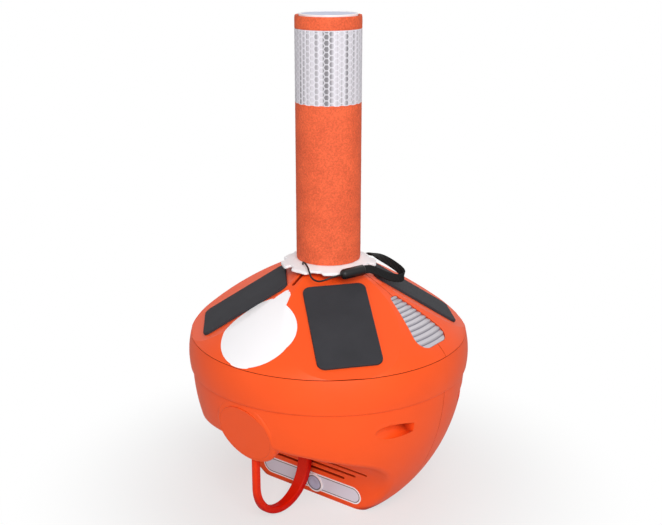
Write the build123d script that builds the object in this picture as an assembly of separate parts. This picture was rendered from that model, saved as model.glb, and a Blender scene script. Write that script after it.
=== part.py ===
from build123d import *
from math import atan2, cos, radians, sin, sqrt, tan
import os

# An anchor buoy: a round moulded hull with a flat keel, a domed deck in two halves with four
# rubber pads, and a foam-covered marker mast with a reflective band.
# Millimetres, +Z up. The origin is the centre of the keel's flat bottom, on the floor.
# The front, -Y, carries the reel's round housing and the scooped recess with the line loop.

CUT_MARGIN = 20.0            # how far cutters reach past what they cut

# Hull, by heights above the floor and radii about the mast's axis
KEEL_RADIUS = 74.0
CREASE_RADIUS = 141.0        # where the bowl meets the belt
CREASE_HEIGHT = 144.0
BOWL_BULGE = 16.8            # how far the bowl's arc stands off its chord
BELT_OVERHANG = 2.0          # how far the belt's foot stands out over the bowl
BELT_LIP = 1.6               # radius of the belt's foot
BELT_HEIGHT = 35.7
BELT_BULGE = 2.0
SEAM_STEP = 0.4              # from the crease's radius out to the seam's
SEAM_RADIUS = CREASE_RADIUS + SEAM_STEP
SEAM_HEIGHT = CREASE_HEIGHT + BELT_HEIGHT
SEAM_GROOVE = 0.7            # width of the line round the seam
PARTING_GAP = 0.6            # between the front and rear mouldings

# Deck dome
SHOULDER_INSET = 7.8         # from the seam in to the shoulder
SHOULDER_RISE = 9.3
DECK_SHOULDER_RADIUS = SEAM_RADIUS - SHOULDER_INSET
DECK_SHOULDER_HEIGHT = SEAM_HEIGHT + SHOULDER_RISE
DECK_TOP_RADIUS = 30.0
DECK_RISE = 62.0             # from the shoulder to the flat top
DECK_TOP_HEIGHT = DECK_SHOULDER_HEIGHT + DECK_RISE
DECK_BULGE = 5.3
DECK_SLOT_FOOT_RADIUS = 58.5 # a slot up the front of the deck, under the collar's edge
DECK_SLOT_WIDTH = 3.2
DECK_SLOT_LENGTH = 22.0
DECK_SLOT_DEPTH = 6.0

# Pads, each stuck by hand on one of the deck's four flats
PADS = (                     # name, azimuth, turn in degrees, shift round the buoy, shift up the slope
    ("front_right", 45.0, 2.9, 0.7, 0.6),
    ("front_left", -45.0, -4.6, 7.4, 3.4),
    ("rear_right", 135.0, -4.7, -4.8, 3.4),
    ("rear_left", -135.0, 3.8, 2.4, 3.2),
)
PAD_WIDTH = 62.3
PAD_END_ROOM = 5.8           # the pad is this much shorter than the deck's run from shoulder to top
PAD_LENGTH = DECK_SHOULDER_RADIUS - DECK_TOP_RADIUS - PAD_END_ROOM
PAD_CORNER = 7.5
PAD_THICKNESS = 2.6
PAD_EDGE = 0.9
FLAT_OFFSET = 6.6            # from the middle of the deck's run out to the flat's middle
FLAT_MIDDLE_RADIUS = (DECK_SHOULDER_RADIUS + DECK_TOP_RADIUS) / 2 + FLAT_OFFSET
FLAT_SINK = 10.4             # how far the flat's middle lies under the dome, straight down
FLAT_TILT = 0.8              # degrees that a flat is steeper than the dome's chord

# Windows in the deck's sides
WINDOW_AZIMUTHS = {"right": 90.0, "left": -90.0}
WINDOW_BASE_INSET = 2.6      # from the shoulder in to the window's foot
WINDOW_RUN = 52.0            # from the foot in to the apex, level
WINDOW_BASE_RADIUS = DECK_SHOULDER_RADIUS - WINDOW_BASE_INSET
WINDOW_TOP_RADIUS = WINDOW_BASE_RADIUS - WINDOW_RUN
WINDOW_BASE_SINK = 1.2       # how far the window's foot lies under the dome
WINDOW_BASE_WIDTH = 55.0
WINDOW_APEX_WIDTH = 10.0
WINDOW_APEX_CORNER = 4.0
WINDOW_BASE_CORNER = 12.0
WINDOW_POCKET_DEPTH = 3.4
LENS_SINK = 0.5              # how far the lens's face lies under the dome, straight down
LENS_CLEARANCE = 0.35
LENS_RIB_PITCH = 4.6         # level, from rib to rib
LENS_RIB_DEPTH = 1.5
LENS_RIB_LEAN = 0.8          # share of the pitch, going in, where the groove is deepest
LENS_RIB_SWEEP = 40.0        # degrees round the buoy that a groove's cutter reaches

# Scooped recess under the front
RECESS_WALL_LEAN = 6.0       # degrees that the wall leans forward going up
RECESS_END_RADIUS = 9.0      # where the recess's wall meets the bowl
RECESS_ARC_RADIUS = 62.0
RECESS_ARC_Y = -97.0
RECESS_ARC_DROP = 122.0      # from the crease down to the arc's centre
RECESS_ARC_HEIGHT = CREASE_HEIGHT - RECESS_ARC_DROP
RECESS_CEILING_RISE = 19.0   # degrees that the ceiling rises towards the front
SLOT_ROWS = (                # length, height above the arc's centre
    (95.0, 11.0), (126.0, 18.5), (158.0, 26.0),
)
SLOT_WIDTH = 3.0
SLOT_DEPTH = 7.0

# Reel housing at the front
HOUSING_RADIUS = 36.5
HOUSING_DEPTH = 17.0
HOUSING_EDGE = 5.0
HOUSING_ROOM = 0.6           # between the housing's side and the hull above it
HOUSING_DROP = 34.7          # from the crease down to the middle of the housing's face
HOUSING_HEIGHT = CREASE_HEIGHT - HOUSING_DROP
HOUSING_INSET = 3.7          # how far the face's middle lies inside the bowl's surface
HOUSING_TILT = 16.0          # degrees that the face looks down
COVER_RADIUS = 30.5
COVER_THICKNESS = 3.0
COVER_CLEARANCE = 0.12
REEL_RADIUS = 27.0
REEL_RISE = 4.7              # of the reel's axis over the middle of the housing's face
REEL_FRONT_Y = -85.0
REEL_BACK_Y = -35.0
REEL_CLEARANCE = 0.3

# Line loop under the recess, in the middle plane
LOOP_CENTRE_Y = -80.0
LOOP_ROOM = 32.3             # of the housing's height, what the loop's bend doesn't take up
LOOP_RADIUS = (HOUSING_HEIGHT - LOOP_ROOM) / 2   # of its middle line
LOOP_FRONT_DROP = 31.8       # from the middle of the housing's face down to the front leg's end
LOOP_FLOOR_GAP = 1.5
LOOP_FRONT_WIDTH = 6.5       # across the buoy
LOOP_REAR_WIDTH = 15.0
LOOP_THICKNESS = 7.5
LOOP_EDGE = 2.2
LOOP_SEAT = 6.0              # how far the rear leg goes up into its socket
SOCKET_CLEARANCE = 0.3

# Collar under the mast: a soft ring draped on the dome, with uneven lobes
COLLAR_LIFT = 0.3            # between the dome and the collar
COLLAR_THICKNESS = 2.8
COLLAR_HEIGHT = DECK_TOP_HEIGHT + COLLAR_LIFT + COLLAR_THICKNESS
COLLAR_FLAT_RADIUS = 33.5
COLLAR_RIM_RADIUS = 60.0     # of the blank that its outline is cut from
COLLAR_FALL = 8.0            # from the blank's flat top down to its rim
COLLAR_ROOT_RADIUS = 42.5
COLLAR_CORNER = 4.0
COLLAR_LOBES = (             # azimuth in degrees, tip radius, width
    (-3.0, 46.5, 22.0), (41.0, 45.2, 20.0), (92.0, 46.0, 17.0), (124.0, 48.5, 20.0), (160.0, 45.5, 17.0),
    (192.0, 47.0, 18.0), (226.0, 46.5, 17.0), (258.0, 47.5, 17.0), (288.0, 47.0, 15.0), (321.0, 48.0, 21.0),
)

# Mast
MAST_RADIUS = 32.5
MAST_SEAT = 0.3              # between the collar and the foam
MAST_FOOT_HEIGHT = COLLAR_HEIGHT + MAST_SEAT
MAST_LENGTH = 239.5
MAST_TOP_HEIGHT = MAST_FOOT_HEIGHT + MAST_LENGTH
BAND_TOP_MARGIN = 12.4       # from the mast's top to the band
BAND_WIDTH = 70.0
BAND_THICKNESS = 0.6         # the band lies flush in the foam
BAND_CLEARANCE = 0.05
CORE_RADIUS = 28.5
CORE_WALL = 2.5
CORE_DEPTH = 51.0            # from the deck's top down to the core's foot
CORE_CLEARANCE = 0.3
FOAM_CLEARANCE = 0.15
PLUG_THICKNESS = 4.0
PLUG_INSET = 3.0             # how far the end plug sits below the rim
PLUG_CLEARANCE = 0.05

# Wrist lanyard: a thin cord from the collar to a grip, then a strap back to the collar
CORD_DIAMETER = 1.8
CORD_ROUTE = (
    (-5.0, -35.6, 253.9), (-4.2, -36.8, 256.6), (1.0, -39.4, 257.0), (7.0, -43.0, 254.9), (13.0, -47.8, 251.4),
    (17.6, -51.2, 248.6), (22.4, -52.2, 246.8), (27.4, -50.8, 246.2), (32.4, -47.6, 248.0), (36.9, -41.1, 250.4),
    (40.5, -33.5, 251.0),
)
GRIP_RADIUS = 5.4
GRIP_EDGE = 2.4
GRIP_ENDS = ((40.5, -33.5, 251.0), (51.6, -10.2, 252.8))
STRAP_DIAMETER = 4.4
STRAP_ROUTE = (
    (51.85, -9.7, 252.82), (54.2, -4.7, 252.8), (57.6, 1.6, 248.6), (61.2, 8.2, 243.6), (64.8, 15.0, 239.4),
    (68.3, 22.0, 236.7), (71.0, 27.5, 236.0), (70.9, 31.6, 237.6), (67.8, 34.1, 240.1), (62.1, 35.6, 242.6),
    (55.3, 36.6, 245.2), (47.1, 37.6, 247.7), (37.4, 39.6, 249.7), (28.4, 42.6, 250.6), (21.8, 45.4, 250.0),
    (17.0, 46.8, 247.4),
)

# Screw pockets in the bowl's sides, four alike
POCKET_RADIUS = 7.5
POCKET_DROP = 24.0           # from the crease down to the pocket's axis
POCKET_INSET = 14.0          # from the bowl's radius at that height in to the axis
POCKET_MOUTH_Y = -90.0
POCKET_MIDDLE_Y = -55.0      # the pocket turns outwards about this place
POCKET_END_Y = -40.0
POCKET_TURN = 7.0            # degrees


def turned(edges):
    """A solid turned about the mast's axis from edges drawn as (radius, height)."""
    return revolve(Plane.XZ * make_face(edges), Axis.Z)


def loop_of(*points):
    """Straight edges through the points and back to the first."""
    return [Line(a, b) for a, b in zip(points, points[1:] + points[:1])]


def bulged(start, end, bulge):
    """An arc from start up to end, each (radius, height), that stands off its chord to the outside."""
    run, rise = end[0] - start[0], end[1] - start[1]
    chord = sqrt(run**2 + rise**2)
    middle = ((start[0] + end[0]) / 2 + bulge * rise / chord, (start[1] + end[1]) / 2 - bulge * run / chord)
    return ThreePointArc(start, middle, end)


def arc_circle(start, end, bulge):
    """The circle of such an arc: its centre's radius and height, and its own radius."""
    run, rise = end[0] - start[0], end[1] - start[1]
    chord = sqrt(run**2 + rise**2)
    size = (chord**2 / 4 + bulge**2) / (2 * bulge)
    back = size - bulge
    return (start[0] + end[0]) / 2 - back * rise / chord, (start[1] + end[1]) / 2 + back * run / chord, size


BOWL_ARC = ((KEEL_RADIUS, 0), (CREASE_RADIUS, CREASE_HEIGHT), BOWL_BULGE)
BELT_ARC = ((CREASE_RADIUS + BELT_OVERHANG, CREASE_HEIGHT), (SEAM_RADIUS, SEAM_HEIGHT - SEAM_GROOVE), BELT_BULGE)
DECK_ARC = ((DECK_SHOULDER_RADIUS, DECK_SHOULDER_HEIGHT), (DECK_TOP_RADIUS, DECK_TOP_HEIGHT), DECK_BULGE)


def bowl_radius(height):
    centre, level, size = arc_circle(*BOWL_ARC)
    return centre + sqrt(size**2 - (height - level)**2)


def dome_height(radius):
    centre, level, size = arc_circle(*DECK_ARC)
    return level + sqrt(size**2 - (radius - centre)**2)


def half(solid, front):
    """The front or rear moulding of a solid, cut along the parting plane."""
    size = 2 * (SEAM_RADIUS + CUT_MARGIN)
    block = Box(size, size, 2 * MAST_TOP_HEIGHT, align=(Align.CENTER, Align.MIN, Align.CENTER))
    block = Pos(0, PARTING_GAP / 2, 0) * block
    return solid & (block.mirror(Plane.XZ) if front else block)


def bowl():
    foot, head, _ = BOWL_ARC
    return turned([bulged(*BOWL_ARC), Line(head, (0, head[1])), Line((0, head[1]), (0, 0)), Line((0, 0), foot)])


def belt():
    foot, head, _ = BELT_ARC
    ring = turned([bulged(*BELT_ARC), Line(head, (0, head[1])), Line((0, head[1]), (0, foot[1])),
                   Line((0, foot[1]), foot)])
    return fillet(ring.edges().filter_by(GeomType.CIRCLE).sort_by(Axis.Z)[0], BELT_LIP)


def dome():
    """The deck as one turned solid, before its flats, windows and parting."""
    foot = (SEAM_RADIUS, SEAM_HEIGHT)
    shoulder, top, _ = DECK_ARC
    slope = bulged(*DECK_ARC)
    edge = TangentArc(shoulder, foot, tangent=-(slope % 0))
    return turned([edge, slope, Line(top, (0, top[1])), Line((0, top[1]), (0, SEAM_HEIGHT)),
                   Line((0, SEAM_HEIGHT), foot)])


def flat_plane(azimuth):
    """The plane of a pad's flat: its x runs round the buoy and its y up the slope."""
    a = radians(azimuth)
    outward = Vector(sin(a), -cos(a), 0)
    slope = atan2(DECK_RISE, DECK_SHOULDER_RADIUS - DECK_TOP_RADIUS) + radians(FLAT_TILT)
    normal = outward * sin(slope) + Vector(0, 0, cos(slope))
    origin = outward * FLAT_MIDDLE_RADIUS + Vector(0, 0, dome_height(FLAT_MIDDLE_RADIUS) - FLAT_SINK)
    return Plane(origin=origin, x_dir=Vector(cos(a), sin(a), 0), z_dir=normal)


def pad(azimuth, turn, round_shift, up_shift):
    outline = Pos(round_shift, up_shift) * Rot(0, 0, turn) * RectangleRounded(PAD_WIDTH, PAD_LENGTH, PAD_CORNER)
    body = extrude(flat_plane(azimuth) * outline, PAD_THICKNESS)
    top = body.faces().sort_by_distance(flat_plane(azimuth).from_local_coords((0, 0, PAD_THICKNESS)))[0]
    return fillet(top.edges(), PAD_EDGE)


def window_plane(azimuth):
    """The plane of a window: its x runs round the buoy, its y up the slope, its origin mid-slope."""
    a = radians(azimuth)
    outward = Vector(sin(a), -cos(a), 0)
    top = outward * WINDOW_TOP_RADIUS + Vector(0, 0, dome_height(WINDOW_TOP_RADIUS))
    base = outward * WINDOW_BASE_RADIUS + Vector(0, 0, dome_height(WINDOW_BASE_RADIUS) - WINDOW_BASE_SINK)
    across = Vector(cos(a), sin(a), 0)
    return Plane(origin=(top + base) / 2, x_dir=across, z_dir=across.cross(top - base).normalized())


def window_length():
    """The window's length up the slope."""
    rise = dome_height(WINDOW_TOP_RADIUS) - dome_height(WINDOW_BASE_RADIUS) + WINDOW_BASE_SINK
    return sqrt((WINDOW_BASE_RADIUS - WINDOW_TOP_RADIUS)**2 + rise**2)


def window_outline(margin=0.0):
    """A rounded triangle, apex up the slope, drawn smaller by the margin."""
    foot, head = -window_length() / 2, window_length() / 2
    face = make_face(Polyline((-WINDOW_BASE_WIDTH / 2, foot), (WINDOW_BASE_WIDTH / 2, foot),
                              (WINDOW_APEX_WIDTH / 2, head), (-WINDOW_APEX_WIDTH / 2, head), close=True))
    face = fillet(face.vertices().group_by(Axis.Y)[0], WINDOW_BASE_CORNER)
    face = fillet(face.vertices().group_by(Axis.Y)[-1], WINDOW_APEX_CORNER)
    return offset(face, -margin) if margin else face


def window_pocket(azimuth):
    plane = window_plane(azimuth)
    return extrude(plane.offset(-WINDOW_POCKET_DEPTH) * window_outline(), WINDOW_POCKET_DEPTH + CUT_MARGIN)


def lens(azimuth):
    """A lens that follows the dome, in its pocket, with cross ribs of wedge section."""
    plane = window_plane(azimuth).offset(-WINDOW_POCKET_DEPTH)
    blank = extrude(plane * window_outline(LENS_CLEARANCE), CUT_MARGIN) & Pos(0, 0, -LENS_SINK) * dome()
    wedges = []
    for k in range(1, int(WINDOW_RUN / LENS_RIB_PITCH) + 1):
        outer = WINDOW_BASE_RADIUS - (k - 1) * LENS_RIB_PITCH
        inner, deepest = outer - LENS_RIB_PITCH, outer - LENS_RIB_LEAN * LENS_RIB_PITCH
        over = DECK_TOP_HEIGHT
        groove = Plane.XZ * make_face(loop_of(
            (outer, dome_height(outer) - LENS_SINK), (outer, over), (inner, over),
            (inner, dome_height(inner) - LENS_SINK), (deepest, dome_height(deepest) - LENS_SINK - LENS_RIB_DEPTH)))
        wedges.append(Rot(0, 0, azimuth - 90 - LENS_RIB_SWEEP / 2) * revolve(groove, Axis.Z, LENS_RIB_SWEEP))
    return blank - wedges


def scoop_point(height):
    """The point of the scoop's arc at a height above the arc's centre."""
    return Vector(0, RECESS_ARC_Y + sqrt(RECESS_ARC_RADIUS**2 - height**2), RECESS_ARC_HEIGHT + height)


def recess():
    """The scooped recess: one side profile, in y and height, drawn across the whole hull."""
    lean, rise = radians(RECESS_WALL_LEAN), radians(RECESS_CEILING_RISE)
    start = scoop_point(RECESS_ARC_RADIUS * sin(lean))
    through = scoop_point(RECESS_ARC_RADIUS * sin((lean + radians(90) - rise) / 2))
    end = scoop_point(RECESS_ARC_RADIUS * cos(rise))
    foot = (start.Y + (start.Z + CUT_MARGIN) * tan(lean), -CUT_MARGIN)
    front_y = -CREASE_RADIUS - CUT_MARGIN
    front = (front_y, end.Z + (end.Y - front_y) * tan(rise))
    arc = ThreePointArc((start.Y, start.Z), (through.Y, through.Z), (end.Y, end.Z))
    edges = [Line(foot, arc @ 0), arc, Line(arc @ 1, front), Line(front, (front_y, -CUT_MARGIN)),
             Line((front_y, -CUT_MARGIN), foot)]
    return extrude(Plane.YZ * make_face(edges), CREASE_RADIUS + CUT_MARGIN, both=True)


def slots():
    """Drain slots across the recess, each cut square to the scoop at its height."""
    centre = Vector(0, RECESS_ARC_Y, RECESS_ARC_HEIGHT)
    cutters = []
    for length, height in SLOT_ROWS:
        place = scoop_point(height)
        into = (place - centre).normalized()
        plane = Plane(origin=place - into, x_dir=(1, 0, 0), z_dir=into)
        cutters.append(extrude(plane * SlotOverall(length, SLOT_WIDTH), SLOT_DEPTH))
    return cutters


def along_y(radius, start, end, x=0.0, z=0.0):
    """A round bar along Y between two values of y."""
    low, high = min(start, end), max(start, end)
    return extrude(Plane(origin=(x, low, z), x_dir=(1, 0, 0), z_dir=(0, 1, 0)) * Circle(radius), high - low)


def loop_handle(margin=0.0):
    """The line loop: a half-round bend with two straight legs up into sockets, wider to the rear."""
    middle_z = LOOP_FLOOR_GAP + LOOP_THICKNESS / 2 + LOOP_RADIUS
    front_top = HOUSING_HEIGHT - LOOP_FRONT_DROP + margin
    rear_y = LOOP_CENTRE_Y + LOOP_RADIUS
    rear_top = RECESS_ARC_HEIGHT + sqrt(RECESS_ARC_RADIUS**2 - (rear_y - RECESS_ARC_Y)**2) + LOOP_SEAT + margin
    outer, inner = (LOOP_RADIUS + side * (LOOP_THICKNESS / 2 + margin) for side in (1, -1))

    def bend(size):
        return ThreePointArc((LOOP_CENTRE_Y - size, middle_z), (LOOP_CENTRE_Y, middle_z - size),
                             (LOOP_CENTRE_Y + size, middle_z))

    out, back = bend(outer), bend(inner)
    edges = [out, Line(out @ 1, (LOOP_CENTRE_Y + outer, rear_top)),
             Line((LOOP_CENTRE_Y + outer, rear_top), (LOOP_CENTRE_Y + inner, rear_top)),
             Line((LOOP_CENTRE_Y + inner, rear_top), back @ 1), back,
             Line(back @ 0, (LOOP_CENTRE_Y - inner, front_top)),
             Line((LOOP_CENTRE_Y - inner, front_top), (LOOP_CENTRE_Y - outer, front_top)),
             Line((LOOP_CENTRE_Y - outer, front_top), out @ 0)]
    strap = extrude(Plane.YZ * make_face(edges), LOOP_REAR_WIDTH, both=True)
    front_half, rear_half = LOOP_FRONT_WIDTH / 2 + margin, LOOP_REAR_WIDTH / 2 + margin
    front_y, back_y = LOOP_CENTRE_Y - outer, LOOP_CENTRE_Y + outer
    plan = make_face(Polyline((-front_half, front_y), (front_half, front_y), (rear_half, back_y),
                              (-rear_half, back_y), close=True))
    strap = strap & extrude(plan, CREASE_HEIGHT)
    ends = [edge for face in strap.faces().filter_by(Axis.Z) for edge in face.edges()]
    return fillet([edge for edge in strap.edges() if edge not in ends], LOOP_EDGE)


def housing_plane():
    """The reel housing's face: its normal looks out of the buoy's front and a little down."""
    tilt = radians(HOUSING_TILT)
    middle = (0, HOUSING_INSET - bowl_radius(HOUSING_HEIGHT), HOUSING_HEIGHT)
    return Plane(origin=middle, x_dir=(1, 0, 0), z_dir=(0, -cos(tilt), -sin(tilt)))


def housing():
    body = extrude(housing_plane() * Circle(HOUSING_RADIUS), -HOUSING_DEPTH)
    face_edge = body.edges().filter_by(GeomType.CIRCLE).sort_by(Axis.Y)[0]
    below_belt = Cylinder(CREASE_RADIUS, CREASE_HEIGHT, align=(Align.CENTER, Align.CENTER, Align.MIN))
    return fillet(face_edge, HOUSING_EDGE) & below_belt


def cover(margin=0.0):
    return extrude(housing_plane() * Circle(COVER_RADIUS + margin), -COVER_THICKNESS)


def reel(margin=0.0):
    return along_y(REEL_RADIUS + margin, REEL_FRONT_Y - margin, REEL_BACK_Y + margin, z=HOUSING_HEIGHT + REEL_RISE)


def pockets():
    height = CREASE_HEIGHT - POCKET_DROP
    x = bowl_radius(height) - POCKET_INSET
    bar = along_y(POCKET_RADIUS, POCKET_MOUTH_Y - POCKET_MIDDLE_Y, POCKET_END_Y - POCKET_MIDDLE_Y)
    right = Pos(x, POCKET_MIDDLE_Y, height) * Rot(0, 0, -POCKET_TURN) * bar
    left = right.mirror(Plane.YZ)
    return [right, left, right.mirror(Plane.XZ), left.mirror(Plane.XZ)]


def hull_half(front):
    body = half(bowl(), front) - pockets()
    if not front:
        return body
    body = body - recess()
    wall_ends = [edge for edge in body.edges() if edge.bounding_box().min.Z < 1
                 and 1 < edge.bounding_box().max.Z < RECESS_ARC_HEIGHT + RECESS_ARC_RADIUS / 2]
    body = fillet(wall_ends, RECESS_END_RADIUS) - slots()
    body = body - extrude(housing_plane() * Circle(HOUSING_RADIUS + HOUSING_ROOM), 2 * HOUSING_RADIUS)
    body = body + housing() - cover(COVER_CLEARANCE)
    return body - reel(REEL_CLEARANCE) - loop_handle(SOCKET_CLEARANCE)


def deck_slot():
    """A short slot in the middle of the deck's front, cut straight down."""
    low = dome_height(DECK_SLOT_FOOT_RADIUS) - DECK_SLOT_DEPTH
    middle = -DECK_SLOT_FOOT_RADIUS + DECK_SLOT_LENGTH / 2
    outline = Pos(0, middle) * SlotOverall(DECK_SLOT_LENGTH, DECK_SLOT_WIDTH, rotation=90)
    return Pos(0, 0, low) * extrude(outline, DECK_TOP_HEIGHT - low)


def deck_half(front):
    body = dome()
    for azimuth in [row[1] for row in PADS]:
        cutter = Rectangle(2 * DECK_SHOULDER_RADIUS, 2 * FLAT_MIDDLE_RADIUS)
        body = body - extrude(flat_plane(azimuth) * cutter, DECK_RISE)
    body = body - [window_pocket(azimuth) for azimuth in WINDOW_AZIMUTHS.values()]
    bore = Cylinder(CORE_RADIUS + CORE_CLEARANCE, CORE_DEPTH, align=(Align.CENTER, Align.CENTER, Align.MIN))
    body = body - Pos(0, 0, DECK_TOP_HEIGHT - CORE_DEPTH) * bore
    return half(body - deck_slot() if front else body, front)


def mast_tube(radius, bore, foot, head):
    return turned(loop_of((bore, foot), (radius, foot), (radius, head), (bore, head)))


def foam():
    """The foam sleeve, with a shallow seat in which the band lies flush."""
    top, head = MAST_TOP_HEIGHT, MAST_TOP_HEIGHT - BAND_TOP_MARGIN
    sleeve = mast_tube(MAST_RADIUS, CORE_RADIUS + FOAM_CLEARANCE, MAST_FOOT_HEIGHT, top)
    return sleeve - mast_tube(MAST_RADIUS + CUT_MARGIN, MAST_RADIUS - BAND_THICKNESS, head - BAND_WIDTH, head)


def band():
    head = MAST_TOP_HEIGHT - BAND_TOP_MARGIN
    return mast_tube(MAST_RADIUS, MAST_RADIUS - BAND_THICKNESS + BAND_CLEARANCE, head - BAND_WIDTH, head)


def plug():
    top = MAST_TOP_HEIGHT - PLUG_INSET
    return mast_tube(CORE_RADIUS - CORE_WALL - PLUG_CLEARANCE, 0, top - PLUG_THICKNESS, top)


def collar():
    """Cut from a blank that is flat under the foam and then falls with the dome."""
    bore = CORE_RADIUS + CORE_CLEARANCE
    run = COLLAR_RIM_RADIUS - COLLAR_FLAT_RADIUS
    under = COLLAR_THICKNESS / cos(atan2(COLLAR_FALL, run))
    rim = COLLAR_HEIGHT - COLLAR_FALL
    knee = COLLAR_FLAT_RADIUS - (under - COLLAR_THICKNESS) * run / COLLAR_FALL
    blank = turned(loop_of((bore, COLLAR_HEIGHT), (COLLAR_FLAT_RADIUS, COLLAR_HEIGHT), (COLLAR_RIM_RADIUS, rim),
                           (COLLAR_RIM_RADIUS, rim - under), (knee, COLLAR_HEIGHT - COLLAR_THICKNESS),
                           (bore, COLLAR_HEIGHT - COLLAR_THICKNESS)))
    outline = Sketch() + Circle(COLLAR_ROOT_RADIUS)
    for azimuth, tip, width in COLLAR_LOBES:
        lobe = Pos(0, -tip / 2) * RectangleRounded(width, tip, COLLAR_CORNER)
        outline = outline + Rot(0, 0, azimuth) * lobe
    return blank & extrude(outline, MAST_FOOT_HEIGHT)


def routed(route, diameter):
    """A round cord of straight runs and tangent arcs, each arc as large as its runs allow."""
    points = [Vector(*p) for p in route]
    radii = []
    for before, here, after in zip(points, points[1:], points[2:]):
        into, out = here - before, after - here
        half_turn = radians(into.get_angle(out)) / 2
        radii.append(0.45 * min(into.length, out.length) / tan(half_turn))
    path = FilletPolyline(*points, radius=radii)
    solid = sweep(Plane(origin=points[0], z_dir=points[1] - points[0]) * Circle(diameter / 2), path)
    print("cord", diameter, "length", round(path.length, 1), "radii", [round(r, 1) for r in radii],
          "volume ratio", round(solid.volume / (path.length * Circle(diameter / 2).area), 3))
    return solid


def grip():
    start, end = (Vector(*p) for p in GRIP_ENDS)
    axis = Plane(origin=start, z_dir=end - start)
    body = extrude(axis * Circle(GRIP_RADIUS), (end - start).length)
    ends = body.edges().filter_by(GeomType.CIRCLE)
    return fillet(ends, GRIP_EDGE)


def build():
    parts = {
        "hull_front": hull_half(True),
        "hull_rear": hull_half(False),
        "hull_belt": belt(),
        "deck_front": deck_half(True),
        "deck_rear": deck_half(False),
        "reel_block": reel(),
        "reel_cover": cover(),
        "line_loop": loop_handle(),
        "mast_collar": collar(),
        "mast_core": mast_tube(CORE_RADIUS, CORE_RADIUS - CORE_WALL, DECK_TOP_HEIGHT - CORE_DEPTH, MAST_TOP_HEIGHT),
        "mast_foam": foam(),
        "mast_band": band(),
        "mast_plug": plug(),
        "lanyard_cord": routed(CORD_ROUTE, CORD_DIAMETER),
        "lanyard_grip": grip(),
        "lanyard_strap": routed(STRAP_ROUTE, STRAP_DIAMETER),
    }
    for name, *place in PADS:
        parts["pad_" + name] = pad(*place)
    for name, azimuth in WINDOW_AZIMUTHS.items():
        parts["lens_" + name] = lens(azimuth)
    return parts


def main():
    os.makedirs("parts", exist_ok=True)
    for name, shape in build().items():
        export_step(shape, "parts/" + name + ".step")


main()
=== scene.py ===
from math import atan2, cos, degrees, hypot, pi, radians, sin, sqrt, tan

import bmesh
import bpy
from bpy.props import FloatProperty, FloatVectorProperty, IntProperty, PointerProperty
from mathutils import Matrix, Vector


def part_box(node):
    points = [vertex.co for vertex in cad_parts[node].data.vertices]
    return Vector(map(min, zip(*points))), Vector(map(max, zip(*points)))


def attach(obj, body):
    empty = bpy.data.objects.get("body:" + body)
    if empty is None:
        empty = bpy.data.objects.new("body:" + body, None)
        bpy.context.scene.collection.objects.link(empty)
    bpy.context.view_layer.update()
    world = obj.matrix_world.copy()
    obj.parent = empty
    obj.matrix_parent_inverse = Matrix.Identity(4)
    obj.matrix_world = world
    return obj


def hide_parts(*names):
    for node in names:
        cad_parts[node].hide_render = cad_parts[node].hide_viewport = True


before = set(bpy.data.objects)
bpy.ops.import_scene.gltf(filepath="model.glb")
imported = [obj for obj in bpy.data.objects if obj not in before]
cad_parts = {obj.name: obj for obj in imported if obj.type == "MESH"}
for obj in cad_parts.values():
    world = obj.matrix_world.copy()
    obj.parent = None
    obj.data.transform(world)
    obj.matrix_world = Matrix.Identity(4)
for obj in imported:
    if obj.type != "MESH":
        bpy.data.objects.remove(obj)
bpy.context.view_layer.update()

bl_info = {
    "name": "Anchor Marker Buoy",
    "version": (1, 0, 0),
    "blender": (4, 5, 0),
    "location": "View3D > Sidebar > Buoy",
    "description": "Dresses a moulded anchor buoy: hull, deck, pads, mast, band, collar and lanyard",
    "category": "Object",
}

# Lengths in metres, in the frame of the part: origin under the mast on the floor, front at -Y, +Z up.
# An azimuth is counted from the front, to the right.
MM = 0.001
FOAM_LOW, FOAM_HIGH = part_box("mast_foam")
BAND_LOW, BAND_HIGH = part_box("mast_band")
PLUG_LOW, PLUG_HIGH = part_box("mast_plug")
CORE_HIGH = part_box("mast_core")[1]

MAST_RADIUS = FOAM_HIGH.x
CORE_RADIUS = CORE_HIGH.x
SKIN_GAP = 0.05 * MM             # between a vinyl and what it is stuck to
NEAR = 0.001 * MM                # places nearer to each other are the same
LEVEL = 0.99                     # a face is level if its normal points up or down by more than this

MOULDINGS = ("hull_front", "hull_rear", "hull_belt", "deck_front", "deck_rear", "reel_cover")
PADS = ("pad_front_right", "pad_front_left", "pad_rear_right", "pad_rear_left")
LENSES = ("lens_right", "lens_left")

# The lanyard's points in millimetres, as in the part's source but for the strap's height, which lets it
# stand on edge
CORD_ROUTE = (
    (-5.0, -35.6, 253.9), (-4.2, -36.8, 256.6), (1.0, -39.4, 257.0), (7.0, -43.0, 254.9),
    (13.0, -47.8, 251.4), (17.6, -51.2, 248.6), (22.4, -52.2, 246.8), (27.4, -50.8, 246.2),
    (32.4, -47.6, 248.0), (36.9, -41.1, 250.4), (40.5, -33.5, 251.0),
)
GRIP_ENDS = ((40.5, -33.5, 251.0), (51.6, -10.2, 252.8))
# x, y, height and how far the webbing turns about its line, in degrees
STRAP_ROUTE = (
    (51.85, -9.7, 252.8, 60), (54.2, -4.7, 252.8, 62), (57.6, 1.6, 249.4, 64), (61.2, 8.2, 245.2, 66),
    (64.8, 15.0, 241.2, 70), (68.3, 22.0, 238.6, 76), (71.0, 27.5, 237.8, 84), (70.9, 31.6, 239.2, 96),
    (67.8, 34.1, 241.6, 108), (62.1, 35.6, 244.0, 118), (55.3, 36.6, 246.4, 125), (47.1, 37.6, 248.8, 135),
    (37.4, 39.6, 250.4, 155), (28.4, 42.6, 251.0, 182), (21.8, 45.4, 250.4, 198), (17.0, 46.8, 247.8, 204),
)


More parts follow.
